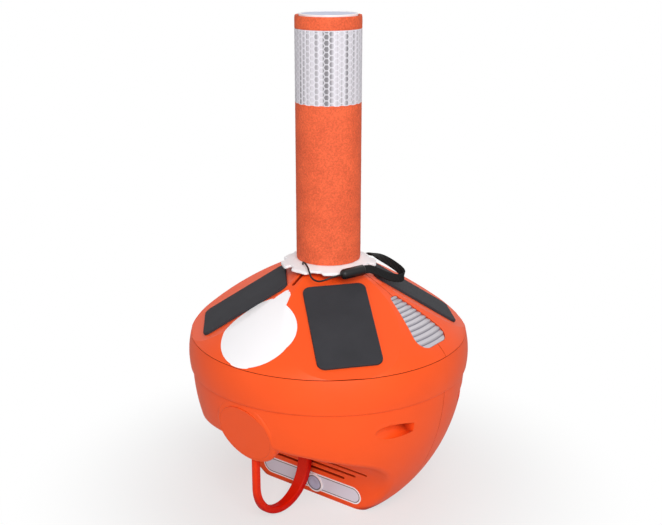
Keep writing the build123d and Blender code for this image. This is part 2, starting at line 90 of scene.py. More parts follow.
def linear(code):
    """The linear colour of an sRGB hex value."""
    channels = [int(code[i:i + 2], 16) / 255 for i in (1, 3, 5)]
    return tuple(c / 12.92 if c <= 0.04045 else ((c + 0.055) / 1.055) ** 2.4 for c in channels)


def colour(name, code):
    return FloatVectorProperty(name=name, description=name + " of the real finish", subtype="COLOR",
                               size=3, min=0, max=1, default=linear(code))


def length(name, description, default, **limits):
    return FloatProperty(name=name, description=description, default=default, unit="LENGTH",
                         subtype="DISTANCE", precision=5, **limits)


class BuoyColours(bpy.types.PropertyGroup):
    moulding: colour("Orange moulding", "#FF581B")
    # painted shade: the darker red that the moulding is drawn to in gaps and hollows
    hollow_shade: colour("Moulding in gaps", "#8E0A00")
    pad: colour("Pad rubber", "#36363A")
    foam: colour("Mast foam", "#FA653B")
    loop: colour("Line loop", "#EE3A14")
    # painted shade on the line loop near the hull
    loop_shade: colour("Line loop near the hull", "#C80800")
    collar: colour("Collar sheet", "#FFFCFE")
    # painted reflection: the film and rib tones are drawn lighter and darker in upright streaks
    film: colour("Reflective film", "#CFCBD2")
    rib: colour("Film ribs", "#DDDAE1")
    tube: colour("Mast tube", "#F6F2F4")
    plug: colour("End plug", "#BFC4DC")
    lens: colour("Lens", "#AEA9B0")
    # painted shade: the dark line drawn down in the lens's grooves
    groove_shade: colour("Lens grooves", "#7C7783")
    lanyard: colour("Lanyard", "#09090A")
    decal: colour("Decal vinyl", "#FFFDFF")
    label: colour("Label face", "#E0E4F0")
    line: colour("Printed line", "#4B4C55")
    steel: colour("Spring steel", "#8E8C8A")


class BuoySizes(bpy.types.PropertyGroup):
    cord_diameter: length("Cord", "Diameter of the lanyard's thin cord", 1.8 * MM)
    strap_width: length("Strap width", "Width of the lanyard's webbing", 8.2 * MM)
    strap_thickness: length("Strap thickness", "Thickness of the lanyard's webbing", 1.9 * MM)
    grip_radius: length("Grip radius", "Radius of the moulded grip", 5.2 * MM)
    rim_rise: length("Tube rim", "How far the end plug's rim stands over the foam", 1.5 * MM)
    cell_pairs: IntProperty(name="Cell pairs", description="Pairs of honeycomb columns round the band",
                            default=21)
    cell_rib: length("Cell rib", "Width of the raised rib round each honeycomb cell", 0.9 * MM)
    band_edge: length("Band edge", "Height of the plain sealed strip at the band's ends", 0.9 * MM)
    cell_depth: length("Cell depth", "Depth of a honeycomb cell under its ribs", 0.15 * MM)
    foam_grain: length("Foam grain", "Height of the foam's surface grain", 0.35 * MM)
    collar_wave: length("Collar wave", "How far the collar's sheet waves up and down", 0.7 * MM)
    decal_radius: length("Decal radius", "Radius of the round decal", 38.8 * MM)
    vinyl: length("Vinyl", "Thickness of the decal and the label", 0.25 * MM)
    label_length: length("Label length", "Length of the label on the recess's wall", 129.8 * MM)
    label_height: length("Label height", "Height of the label on the recess's wall", 20.6 * MM)
    badge_radius: length("Badge", "Radius of the round badge on the label", 10.8 * MM)


# Helpers for modelling

def start_clean():
    """Object mode with nothing selected."""
    if bpy.context.object and bpy.context.object.mode != "OBJECT":
        bpy.ops.object.mode_set(mode="OBJECT")
    bpy.ops.object.select_all(action="DESELECT")


def activate(piece):
    start_clean()
    piece.select_set(True)
    bpy.context.view_layer.objects.active = piece


def modify(kind, **settings):
    """Adds a modifier to the active object, sets it up and applies it."""
    bpy.ops.object.modifier_add(type=kind)
    modifier = bpy.context.object.modifiers[-1]
    for key, value in settings.items():
        setattr(modifier, key, value)
    bpy.ops.object.modifier_apply(modifier=modifier.name)


def choose(kind, test):
    """In edit mode, selects only the active mesh's faces, edges or verts that pass the test."""
    bpy.ops.mesh.select_mode(type={"faces": "FACE", "edges": "EDGE", "verts": "VERT"}[kind])
    bpy.ops.mesh.select_all(action="DESELECT")
    mesh = bmesh.from_edit_mesh(bpy.context.object.data)
    for item in getattr(mesh, kind):
        if test(item):
            item.select_set(True)
    mesh.select_flush_mode()
    bmesh.update_edit_mesh(bpy.context.object.data)


def cut(place, direction=(0, 0, 1), **sides):
    """In edit mode, cuts the whole mesh along a plane; clear_inner or clear_outer drops one side."""
    bpy.ops.mesh.select_all(action="SELECT")
    bpy.ops.mesh.bisect(plane_co=place, plane_no=direction, **sides)


def stretch(x=1.0, y=1.0, about=(0, 0, 0)):
    """Scales what is selected in edit mode about a place."""
    bpy.ops.transform.resize(value=(x, y, 1.0), center_override=about)


def finish_faces(number):
    """Gives the selected faces the object's material of this number."""
    bpy.context.object.active_material_index = number
    bpy.ops.object.material_slot_assign()


def seat(piece, name, materials, slot, *nodes):
    """Names a finished piece, gives it its finish and fixes it to the buoy in place of CAD nodes."""
    activate(piece)
    bpy.ops.object.transform_apply(location=True, rotation=True, scale=True)
    piece.name = piece.data.name = name
    for material in materials:
        piece.data.materials.append(material)
    if nodes:
        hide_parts(*nodes)
    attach(piece, "root")
    return piece


def paint(names, material):
    """Gives CAD nodes a material."""
    for name in names:
        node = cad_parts[name]
        if not node.material_slots:
            node.data.materials.append(material)
        for slot in node.material_slots:
            slot.material = material


# Materials

def add(tree, kind, settings=None, **inputs):
    """Adds a node with its settings; an input is a value or another node's output, i0 the first input."""
    node = tree.nodes.new(kind)
    for key, value in (settings or {}).items():
        setattr(node, key, value)
    for key, value in inputs.items():
        socket = node.inputs[int(key[1:])] if key[1:].isdigit() else node.inputs[key.replace("_", " ")]
        if isinstance(value, bpy.types.NodeSocket):
            tree.links.new(value, socket)
        else:
            socket.default_value = value
    return node


def empty_tree(owner):
    """The node tree of a material or a world, without nodes."""
    owner.use_nodes = True
    owner.node_tree.nodes.clear()
    return owner.node_tree


def new_material(name, base, **surface):
    """A Principled material; surface holds the shader's own sockets."""
    material = bpy.data.materials.new(name)
    tree = empty_tree(material)
    shader = add(tree, "ShaderNodeBsdfPrincipled", None, Base_Color=(*base, 1), **surface)
    add(tree, "ShaderNodeOutputMaterial", None, Surface=shader.outputs["BSDF"])
    where = add(tree, "ShaderNodeTexCoord").outputs["Object"]
    return material, tree, shader, where


def noise(tree, where, size, detail=3.0, roughness=0.5):
    """Noise whose largest features are about size across, in metres."""
    return add(tree, "ShaderNodeTexNoise", None, Vector=where, Scale=1 / size, Detail=detail,
               Roughness=roughness).outputs["Fac"]


def blend_base(tree, shader, share, low, high, start=0.0, end=1.0):
    """Base colour from low to high as the share goes from start to end."""
    ramp = add(tree, "ShaderNodeValToRGB", None, Fac=share)
    for stop, place, tone in zip(ramp.color_ramp.elements, (start, end), (low, high)):
        stop.position = place
        stop.color = (*tone, 1)
    tree.links.new(ramp.outputs["Color"], shader.inputs["Base Color"])


def toned(base, share):
    """The colour made lighter or darker by a share."""
    return tuple(min(1.0, channel * share) for channel in base)


def mottled(tree, shader, base, where, size, spread, detail=3.0):
    """Varies the base colour's lightness with noise, by spread either way."""
    # noise seldom leaves the range from start to end
    blend_base(tree, shader, noise(tree, where, size, detail), toned(base, 1 - spread),
               toned(base, 1 + spread), start=0.3, end=0.7)


def grained(tree, shader, height, distance, strength):
    """Bumps the surface by the height, which goes from 0 to 1 over the distance."""
    bump = add(tree, "ShaderNodeBump", None, Strength=strength, Distance=distance, Height=height)
    tree.links.new(bump.outputs["Normal"], shader.inputs["Normal"])


def painted_hollow_shade(tree, shader, shade_tone, reach, start, end):
    """Painted shade: draws the base colour to a darker shade tone where ambient occlusion finds the surface
    shut in: the shade tone at start, plain at end.
    """
    socket = shader.inputs["Base Color"]
    plain = socket.links[0].from_socket
    openness = add(tree, "ShaderNodeAmbientOcclusion", {"samples": 8}, Distance=reach)
    share = add(tree, "ShaderNodeMapRange", None, Value=openness.outputs["AO"], From_Min=start, From_Max=end)
    # for colours the node's inputs 6 and 7 are what it mixes, and its output 2 is the result
    mix = add(tree, "ShaderNodeMix", {"data_type": "RGBA"}, i0=share.outputs["Result"], i6=(*shade_tone, 1),
              i7=plain)
    tree.links.new(mix.outputs[2], socket)


def moulded_polyethylene(colours):
    """Injection-moulded polyethylene: a soft satin gloss over a fine spark-eroded grain."""
    material, tree, shader, where = new_material("moulded polyethylene", colours.moulding, Roughness=0.45,
                                                 IOR=1.51, Specular_IOR_Level=0.3)
    mottled(tree, shader, colours.moulding, where, size=60 * MM, spread=0.035)
    # painted shade: the moulding is drawn to a darker red in gaps and hollows, where the surface is shut in
    painted_hollow_shade(tree, shader, colours.hollow_shade, reach=14 * MM, start=0.12, end=0.62)
    # the real grain is about 0.2 mm and wouldn't show, so it is drawn twice as coarse
    grained(tree, shader, noise(tree, where, 0.5 * MM, detail=2.0), distance=0.03 * MM, strength=0.5)
    return material


def moulded_loop(colours):
    """Moulded nylon: orange red, with painted shade that draws it to a darker red towards the hull, and
    faint flow marks.
    """
    material, tree, shader, where = new_material("moulded nylon", colours.loop, Roughness=0.4, IOR=1.53,
                                                 Specular_IOR_Level=0.12)
    mottled(tree, shader, colours.loop, where, size=12 * MM, spread=0.07)
    # painted shade: the loop turns a darker red where the hull shuts it in
    painted_hollow_shade(tree, shader, colours.loop_shade, reach=90 * MM, start=0.40, end=0.85)
    grained(tree, shader, noise(tree, where, 0.5 * MM), distance=0.03 * MM, strength=0.4)
    return material


def cell_rubber(colours):
    """Die-cut closed-cell rubber: flat dark grey with a fine open grain that takes no highlight."""
    material, tree, shader, where = new_material("closed cell rubber", colours.pad, Roughness=0.86, IOR=1.5,
                                                 Specular_IOR_Level=0.25)
    mottled(tree, shader, colours.pad, where, size=30 * MM, spread=0.10, detail=6.0)
    cells = add(tree, "ShaderNodeTexVoronoi", None, Vector=where, Scale=1 / (0.9 * MM))
    grained(tree, shader, cells.outputs["Distance"], distance=0.10 * MM, strength=0.6)
    return material


def sleeve_foam(colours):
    """Skived EVA foam: cut cells give a sandy, sparkling grain, with darker scuffs."""
    material, tree, shader, where = new_material("skived foam", colours.foam, Roughness=0.78, IOR=1.45)
    scuffs = noise(tree, where, 22 * MM, detail=5.0, roughness=0.6)
    grain = noise(tree, where, 1.8 * MM, detail=4.0, roughness=0.7)
    # the scuffs count a bit less than half as much as the grain
    both = add(tree, "ShaderNodeMath", {"operation": "MULTIPLY_ADD"}, i0=scuffs, i1=0.45, i2=grain)
    blend_base(tree, shader, both.outputs[0], toned(colours.foam, 0.66), toned(colours.foam, 1.25),
               start=0.52, end=0.93)
    grained(tree, shader, grain, distance=0.25 * MM, strength=0.8)
    return material


def foam_sheet(colours):
    """Polyethylene foam sheet: white and matt, with a faint dimpled skin."""
    material, tree, shader, where = new_material("foam sheet", colours.collar, Roughness=0.7, IOR=1.45)
    grained(tree, shader, noise(tree, where, 2.2 * MM), distance=0.2 * MM, strength=0.5)
    return material


# The film's painted reflection streaks: how many a radian round the mast and a metre up it, and which part
# of the noise
STREAKS = (8.5, 2.0, 1)
STREAK_START = (2.2, 0, 0)
# The darkest painted reflection streak, two cells wide: azimuth, half of its width in radians, and how much
# darker it is
DARK_AZIMUTH = radians(35)
DARK_HALF = 0.13
DARK_DEPTH = 0.22


def film_with_painted_reflection(name, tone, dark, pale):
    """Silver film with painted reflection in upright streaks, lighter and darker where its prisms turn; dark
    and pale are shares of the tone.
    """
    material, tree, shader, where = new_material(name, tone, Roughness=0.35, IOR=1.5, Coat_Weight=0.3,
                                                 Coat_Roughness=0.12)
    place = add(tree, "ShaderNodeSeparateXYZ", None, Vector=where)
    # this angle is pi at the front and gets less to the right
    around = add(tree, "ShaderNodeMath", {"operation": "ARCTAN2"}, i0=place.outputs["X"],
                 i1=place.outputs["Y"])
    spot = add(tree, "ShaderNodeCombineXYZ", None, X=around.outputs[0], Y=place.outputs["Z"])
    narrow = add(tree, "ShaderNodeMapping", None, Vector=spot.outputs[0], Scale=STREAKS,
                 Location=STREAK_START)
    streaks = add(tree, "ShaderNodeTexNoise", {"noise_dimensions": "2D"}, Vector=narrow.outputs["Vector"],
                  Scale=1.0, Detail=2.0, Roughness=0.55)
    darkest = add(tree, "ShaderNodeMath", {"operation": "COMPARE"}, i0=around.outputs[0],
                  i1=pi - DARK_AZIMUTH, i2=DARK_HALF)
    lowered = add(tree, "ShaderNodeMath", {"operation": "MULTIPLY_ADD"}, i0=darkest.outputs[0],
                  i1=-DARK_DEPTH, i2=streaks.outputs["Fac"])
    blend_base(tree, shader, lowered.outputs[0], toned(tone, dark), toned(tone, pale), start=0.28, end=0.52)
    return material


def prismatic_film(colours):
    """Prismatic film between the ribs: silver, with painted reflection dark in the streaks."""
    return film_with_painted_reflection("prismatic film", colours.film, dark=0.34, pale=1.12)


def film_rib(colours):
    """The film's sealed ribs: clear acrylic over white, hardly darker in the painted reflection streaks."""
    return film_with_painted_reflection("film rib", colours.rib, dark=0.86, pale=1.12)


def extruded_tube(colours):
    """Extruded white tube with a satin, faintly uneven skin."""
    material, tree, shader, where = new_material("extruded tube", colours.tube, Roughness=0.4, IOR=1.53)
    mottled(tree, shader, colours.tube, where, size=9 * MM, spread=0.03)
    return material


def plug_plastic(colours):
    """Moulded plug of pale blue grey plastic, satin and slightly cloudy."""
    material, tree, shader, where = new_material("plug plastic", colours.plug, Roughness=0.5, IOR=1.5)
    mottled(tree, shader, colours.plug, where, size=14 * MM, spread=0.06)
    return material


# The lens's ribs, which have to lie where the CAD has them
WINDOW_FOOT = 131.0 * MM         # from the mast's axis
RIB_PITCH = 4.6 * MM
# painted shade: each of the grooves gets a dark painted line, at this share of the pitch
GROOVE_PLACE = 0.82              # share of the pitch, going in, where the dark line lies


def silvered_lens(colours):
    """Clear ribbed lens with a silvered back: pale grey strips, with a dark painted shade line down in each
    of its grooves.
    """
    material, tree, shader, where = new_material("silvered lens", colours.lens, Roughness=0.3, Metallic=0.2,
                                                 IOR=1.49, Coat_Weight=0.4, Coat_Roughness=0.1)
    # the grooves run round the mast, a rib's pitch apart from the window's foot inwards
    flat = add(tree, "ShaderNodeVectorMath", {"operation": "MULTIPLY"}, i0=where, i1=(1, 1, 0))
    radius = add(tree, "ShaderNodeVectorMath", {"operation": "LENGTH"}, i0=flat.outputs[0])
    inward = add(tree, "ShaderNodeMath", {"operation": "SUBTRACT"}, i0=WINDOW_FOOT,
                 i1=radius.outputs["Value"])
    ribs = add(tree, "ShaderNodeMath", {"operation": "DIVIDE"}, i0=inward.outputs[0], i1=RIB_PITCH)
    rib = add(tree, "ShaderNodeMath", {"operation": "FRACT"}, i0=ribs.outputs[0])
    off = add(tree, "ShaderNodeMath", {"operation": "SUBTRACT"}, i0=rib.outputs[0], i1=GROOVE_PLACE)
    away = add(tree, "ShaderNodeMath", {"operation": "ABSOLUTE"}, i0=off.outputs[0])
    # painted shade: a dark line down in the grooves, by the place within each rib
    blend_base(tree, shader, away.outputs[0], colours.groove_shade, colours.lens, start=0.03, end=0.10)
    grained(tree, shader, noise(tree, where, 2 * MM, detail=4.0), distance=0.05 * MM, strength=0.5)
    return material


def woven_polyester(colours):
    """Woven polyester webbing: black and dull, with a diagonal rib as wide as two threads."""
    material, tree, shader, where = new_material("woven polyester", colours.lanyard, Roughness=0.7, IOR=1.5,
                                                 Specular_IOR_Level=0.25)
    threads = add(tree, "ShaderNodeTexWave", {"bands_direction": "DIAGONAL"}, Vector=where,
                  Scale=1 / (8 * MM), Distortion=0.4, Detail=1.0)
    grained(tree, shader, threads.outputs["Fac"], distance=0.2 * MM, strength=0.9)
    return material


def moulded_rubber(colours):
    """Moulded black rubber with a low sheen."""
    material, tree, shader, where = new_material("moulded rubber", colours.lanyard, Roughness=0.4, IOR=1.52,
                                                 Specular_IOR_Level=0.35)
    grained(tree, shader, noise(tree, where, 0.6 * MM), distance=0.05 * MM, strength=0.5)
    return material


def printed_vinyl(name, base):
    """Self-adhesive vinyl: a soft gloss and slight ripples."""
    material, tree, shader, where = new_material(name, base, Roughness=0.36, IOR=1.5)
    grained(tree, shader, noise(tree, where, 14 * MM, detail=1.0), distance=0.5 * MM, strength=0.25)
    return material


def spring_steel(colours):
    """Rolled spring steel of the closed reel: grey and satin."""
    material, tree, shader, where = new_material("spring steel", colours.steel, Roughness=0.35,
                                                 Metallic=1.0)
    mottled(tree, shader, colours.steel, where, size=1.5 * MM, spread=0.08)
    return material


# Operators

class BuoyStage(bpy.types.Operator):
    """White floor, soft studio lamps, pale world and the camera"""
    bl_idname = "buoy.stage"
    bl_label = "Stage"

    CAMERA_PLACE = (0.6133, -0.8097, 0.5692)
    CAMERA_AZIMUTH = 37.0        # where it stands, and how far it looks down, in degrees
    CAMERA_PITCH = 17.57
    CAMERA_LENS = 56.91          # lens and sensor in millimetres
    CAMERA_SENSOR = 36
    MIDDLE = Vector((0, 0, 0.2))   # what the lamps are aimed at
    # name, azimuth, elevation, distance, size, watts
    LAMPS = (
        ("key", 45, 30, 1.7, 1.0, 20.5),
        ("fill", -20, 12, 2.2, 1.0, 2.6),
        ("back", 200, 50, 1.9, 1.2, 6.0),
    )
    WORLD_LIGHT = 0.35
    FLOOR_RADIUS = 9
    PAPER = (0.70, 0.70, 0.70, 1)
    WHITE = (1, 1, 1, 1)
    # the floor's paper fades into plain white between two distances, and nearer in it is partly white
    FADE_FROM = 0.10
    FADE_TO = 0.34
    FADE_LEAST = 0.6

    @staticmethod
    def outward(azimuth, elevation):
        """The direction from the buoy, both angles in degrees."""
        a, e = radians(azimuth), radians(elevation)
        return Vector((sin(a) * cos(e), -cos(a) * cos(e), sin(e)))

    @staticmethod
    def aimed(direction):
        """The rotation of a camera or lamp that looks that way."""
        return direction.to_track_quat("-Z", "Y").to_euler()

    def execute(self, context):
        start_clean()
        look = -self.outward(self.CAMERA_AZIMUTH, self.CAMERA_PITCH)
        bpy.ops.object.camera_add(location=self.CAMERA_PLACE, rotation=self.aimed(look))
        camera = context.object
        camera.data.lens = self.CAMERA_LENS
        camera.data.sensor_width = self.CAMERA_SENSOR
        camera.data.sensor_fit = "HORIZONTAL"
        context.scene.camera = camera
        for name, azimuth, elevation, distance, size, watts in self.LAMPS:
            place = self.outward(azimuth, elevation) * distance + self.MIDDLE
            bpy.ops.object.light_add(type="AREA", location=place, rotation=self.aimed(self.MIDDLE - place))
            context.object.name = name
            context.object.data.size = size
            context.object.data.energy = watts
        self.floor()
        self.world(context)
        context.scene.view_settings.view_transform = "Standard"
        return {"FINISHED"}

    def floor(self):
        """A round white floor with the buoy's shadow, plain white far off."""
        bpy.ops.mesh.primitive_circle_add(vertices=96, radius=self.FLOOR_RADIUS, fill_type="NGON",
                                          location=(0, 0, 0))
        ground = bpy.context.object
        ground.name = "floor"
        material = bpy.data.materials.new("floor paper")
        tree = empty_tree(material)
        where = add(tree, "ShaderNodeTexCoord").outputs["Object"]
        distance = add(tree, "ShaderNodeVectorMath", {"operation": "LENGTH"}, i0=where)
        fade = add(tree, "ShaderNodeMapRange", {"interpolation_type": "SMOOTHSTEP"},
                   Value=distance.outputs["Value"], From_Min=self.FADE_FROM, From_Max=self.FADE_TO,
                   To_Min=self.FADE_LEAST, To_Max=1.0)
        paper = add(tree, "ShaderNodeBsdfDiffuse", None, Color=self.PAPER)
        white = add(tree, "ShaderNodeEmission", None, Color=self.WHITE, Strength=1.0)
        seen = add(tree, "ShaderNodeLightPath")
        share = add(tree, "ShaderNodeMath", {"operation": "MULTIPLY"}, i0=fade.outputs["Result"],
                    i1=seen.outputs["Is Camera Ray"])
        mix = add(tree, "ShaderNodeMixShader", None, Fac=share.outputs[0], i1=paper.outputs[0],
                  i2=white.outputs[0])
        add(tree, "ShaderNodeOutputMaterial", None, Surface=mix.outputs[0])
        ground.data.materials.append(material)

    def world(self, context):
        """Soft light from all round; what the camera and gloss see is plain white."""
        world = bpy.data.worlds.new("studio")
        context.scene.world = world
        tree = empty_tree(world)
        light = add(tree, "ShaderNodeBackground", None, Color=self.WHITE, Strength=self.WORLD_LIGHT)
        shown = add(tree, "ShaderNodeBackground", None, Color=self.WHITE, Strength=1.0)
        seen = add(tree, "ShaderNodeLightPath")
        gloss = add(tree, "ShaderNodeMath", {"operation": "MAXIMUM"}, i0=seen.outputs["Is Camera Ray"],
                    i1=seen.outputs["Is Glossy Ray"])
        mix = add(tree, "ShaderNodeMixShader", None, Fac=gloss.outputs[0], i1=light.outputs[0],
                  i2=shown.outputs[0])
        add(tree, "ShaderNodeOutputWorld", None, Surface=mix.outputs[0])


def routed_curve(name, route):
    """A smooth NURBS line whose control points are the route's, given in millimetres."""
    curve = bpy.data.curves.new(name, "CURVE")
    curve.dimensions = "3D"
    spline = curve.splines.new("NURBS")
    spline.points.add(len(route) - 1)
    for point, place in zip(spline.points, route):
        point.co = (*(Vector(place) * MM), 1)
    spline.order_u = 3
    spline.use_endpoint_u = True
    spline.resolution_u = 8
    curve.resolution_u = 8
    line = bpy.data.objects.new(name, curve)
    bpy.context.scene.collection.objects.link(line)
    return line


def read_line(line):
    """The points of a curve object's own line."""
    mesh = bpy.data.meshes.new_from_object(line.evaluated_get(bpy.context.evaluated_depsgraph_get()))
    points = [v.co.copy() for v in mesh.vertices]
    bpy.data.meshes.remove(mesh)
    return points


def run_length(points):
    return sum((b - a).length for a, b in zip(points, points[1:]))


class BuoyCord(bpy.types.Operator):
    """Thin black cord from the collar to the lanyard's grip"""
    bl_idname = "buoy.cord"
    bl_label = "Lanyard cord"

    def execute(self, context):
        start_clean()
        diameter = context.scene.buoy_sizes.cord_diameter
        cord = routed_curve("lanyard_cord_line", CORD_ROUTE)
        points = read_line(cord)
        cord.data.bevel_depth = diameter / 2
        cord.data.bevel_resolution = 4
        cord.data.use_fill_caps = True
        seat(cord, "cord", [moulded_rubber(context.scene.buoy_colours)], "cord_black", "lanyard_cord")
        return {"FINISHED"}


class BuoyGrip(bpy.types.Operator):
    """Moulded grip between the lanyard's cord and its strap"""
    bl_idname = "buoy.grip"
    bl_label = "Lanyard grip"

    # which end, how far it is rounded as a share of the radius, and in how many steps
    ROUNDED_ENDS = ((1, 0.35, 5), (-1, 0.75, 9))

    def execute(self, context):
        start_clean()
        radius = context.scene.buoy_sizes.grip_radius
        start, end = (Vector(p) * MM for p in GRIP_ENDS)
        axis = end - start
        bpy.ops.mesh.primitive_cylinder_add(vertices=48, radius=radius, depth=axis.length)
        bpy.ops.object.mode_set(mode="EDIT")
        for side, share, steps in self.ROUNDED_ENDS:
            choose("edges", lambda e: all(abs(v.co.z - side * axis.length / 2) < NEAR for v in e.verts))
            bpy.ops.mesh.bevel(offset=radius * share, segments=steps)
        bpy.ops.object.mode_set(mode="OBJECT")
        bpy.ops.object.shade_smooth_by_angle(angle=radians(40))
        grip = context.object
        grip.rotation_euler = axis.to_track_quat("Z", "Y").to_euler()
        grip.location = (start + end) / 2
        seat(grip, "grip", [moulded_rubber(context.scene.buoy_colours)], "grip_black", "lanyard_grip")
        return {"FINISHED"}


class BuoyStrap(bpy.types.Operator):
    """Flat woven strap, folded back from the grip to the collar"""
    bl_idname = "buoy.strap"
    bl_label = "Lanyard strap"

    CUTS_ALONG = 150
    CUTS_ACROSS = 6
    EDGE_ROUND = 0.35            # share of the thickness

    def execute(self, context):
        start_clean()
        sizes = context.scene.buoy_sizes
        line = routed_curve("strap_line", [point[:3] for point in STRAP_ROUTE])
        line.data.twist_mode = "Z_UP"
        for point, (*_, turn) in zip(line.data.splines[0].points, STRAP_ROUTE):
            point.tilt = radians(turn)
        points = read_line(line)
        run = run_length(points)
        bpy.ops.mesh.primitive_grid_add(x_subdivisions=self.CUTS_ALONG, y_subdivisions=self.CUTS_ACROSS,
                                        size=1)
        strap = context.object
        strap.scale = (run, sizes.strap_width, 1)
        strap.location = (run / 2, 0, 0)
        bpy.ops.object.transform_apply(location=True, rotation=True, scale=True)
        modify("SOLIDIFY", thickness=sizes.strap_thickness, offset=0)
        modify("BEVEL", width=sizes.strap_thickness * self.EDGE_ROUND, segments=3, limit_method="ANGLE")
        modify("CURVE", object=line, deform_axis="POS_X")
        bpy.ops.object.shade_smooth_by_angle(angle=radians(50))
        bpy.data.objects.remove(line)
        seat(strap, "strap", [woven_polyester(context.scene.buoy_colours)], "strap_black", "lanyard_strap")
        return {"FINISHED"}


class BuoyMouldings(bpy.types.Operator):
    """Finishes for the hull, deck, loop, pads, lenses and mast tube"""
    bl_idname = "buoy.mouldings"
    bl_label = "Mouldings"

    def execute(self, context):
        colours = context.scene.buoy_colours
        paint(MOULDINGS, moulded_polyethylene(colours))
        paint(("line_loop",), moulded_loop(colours))
        paint(PADS, cell_rubber(colours))
        paint(LENSES, silvered_lens(colours))
        paint(("mast_core",), extruded_tube(colours))
        paint(("reel_block",), spring_steel(colours))
        return {"FINISHED"}


class BuoyFoam(bpy.types.Operator):
    """Foam sleeve with a real cut-cell grain, rounded ends and a seat for the band"""
    bl_idname = "buoy.foam"
    bl_label = "Mast foam"

    AROUND = 176
    UP = 190
    BAND_SEAT = 0.8 * MM         # depth of the seat
    SEAT_WALL = 0.05 * MM        # height over which the foam goes in to the seat
    END_ROUND = 0.5 * MM
    LEVEL_MARGIN = 0.3 * MM      # height beside an edge that has no grain
    GRAIN_SIZE = 1.6 * MM
    GRAIN_MIDDLE = 0.8           # nearly all of the grain goes in
    TUBE_ROOM = 1.0 * MM         # left free round the tube

    def execute(self, context):
        start_clean()
        low, high = FOAM_LOW.z, FOAM_HIGH.z
        seat_low, seat_high = BAND_LOW.z, BAND_HIGH.z
        bpy.ops.mesh.primitive_cylinder_add(vertices=self.AROUND, radius=MAST_RADIUS, depth=high - low,
                                            end_fill_type="NOTHING", location=(0, 0, (low + high) / 2))
        bpy.ops.object.transform_apply(location=True)
        bpy.ops.object.mode_set(mode="EDIT")
        choose("edges", lambda e: abs(e.verts[0].co.z - e.verts[1].co.z) > NEAR)
        bpy.ops.mesh.subdivide(number_cuts=self.UP)
        for level in (seat_low - self.SEAT_WALL, seat_low, seat_high, seat_high + self.SEAT_WALL):
            cut((0, 0, level))
        choose("verts", lambda v: seat_low - NEAR < v.co.z < seat_high + NEAR)
        seat_share = 1 - self.BAND_SEAT / MAST_RADIUS
        stretch(x=seat_share, y=seat_share)
        choose("verts", lambda v: v.co.z < low + NEAR or v.co.z > high - NEAR)
        end_share = 1 - self.END_ROUND / MAST_RADIUS
        stretch(x=end_share, y=end_share)
        bpy.ops.object.mode_set(mode="OBJECT")
        foam = context.object
        edges = (low, high, seat_low, seat_high)
        grainy = [v.index for v in foam.data.vertices
                  if all(abs(v.co.z - edge) > self.LEVEL_MARGIN for edge in edges)]
        foam.vertex_groups.new(name="grain").add(grainy, 1.0, "REPLACE")
        grain = bpy.data.textures.new("foam grain", "CLOUDS")
        grain.noise_scale = self.GRAIN_SIZE
        grain.noise_depth = 2
        modify("DISPLACE", texture=grain, texture_coords="LOCAL", mid_level=self.GRAIN_MIDDLE,
               vertex_group="grain", strength=context.scene.buoy_sizes.foam_grain)
        modify("SOLIDIFY", thickness=MAST_RADIUS - CORE_RADIUS - self.TUBE_ROOM, offset=-1)
        bpy.ops.object.shade_smooth_by_angle(angle=radians(50))
        seat(foam, "foam_sleeve", [sleeve_foam(context.scene.buoy_colours)], "foam_orange", "mast_foam")
        return {"FINISHED"}


class BuoyPlug(bpy.types.Operator):
    """End plug pressed into the mast's tube: a white rim over the foam, and a pale, slightly domed top"""
    bl_idname = "buoy.plug"
    bl_label = "End plug"

    EDGE_ROUND = 0.5 * MM
    RIM_WIDTH = 1.2 * MM
    STEP_WIDTH = 0.2 * MM        # of the step down from the rim to the dome
    STEP_DEPTH = 0.5 * MM
    DOME_STEPS = 6
    DOME_RISE = 0.6 * MM
    SHANK_TAPER = 0.02 * MM

    def execute(self, context):
        start_clean()
        colours = context.scene.buoy_colours
        rise = context.scene.buoy_sizes.rim_rise
        middle = CORE_HIGH.z + rise / 2
        bpy.ops.mesh.primitive_cylinder_add(vertices=96, radius=CORE_RADIUS, depth=rise,
                                            location=(0, 0, middle))
        bpy.ops.object.transform_apply(location=True)
        plug = context.object
        plug.data.materials.append(extruded_tube(colours))
        plug.data.materials.append(plug_plastic(colours))
        bpy.ops.object.mode_set(mode="EDIT")
        choose("edges", lambda e: all(v.co.z > middle for v in e.verts))
        bpy.ops.mesh.bevel(offset=self.EDGE_ROUND, segments=4)
        choose("faces", lambda f: f.normal.z > LEVEL)
        bpy.ops.mesh.inset(thickness=self.RIM_WIDTH, depth=0)
        bpy.ops.mesh.inset(thickness=self.STEP_WIDTH, depth=-self.STEP_DEPTH)
        finish_faces(1)
        for _ in range(self.DOME_STEPS):
            bpy.ops.mesh.inset(thickness=PLUG_HIGH.x / (self.DOME_STEPS + 2),
                               depth=self.DOME_RISE / self.DOME_STEPS)
        # the shank goes down into the tube
        choose("faces", lambda f: f.normal.z < -LEVEL)
        bpy.ops.mesh.inset(thickness=CORE_RADIUS - PLUG_HIGH.x, depth=0)
        bpy.ops.mesh.inset(thickness=self.SHANK_TAPER, depth=CORE_HIGH.z - PLUG_LOW.z)
        bpy.ops.object.mode_set(mode="OBJECT")
        bpy.ops.object.shade_smooth_by_angle(angle=radians(35))
        seat(plug, "end_plug", [], "plug_grey", "mast_plug")
        return {"FINISHED"}


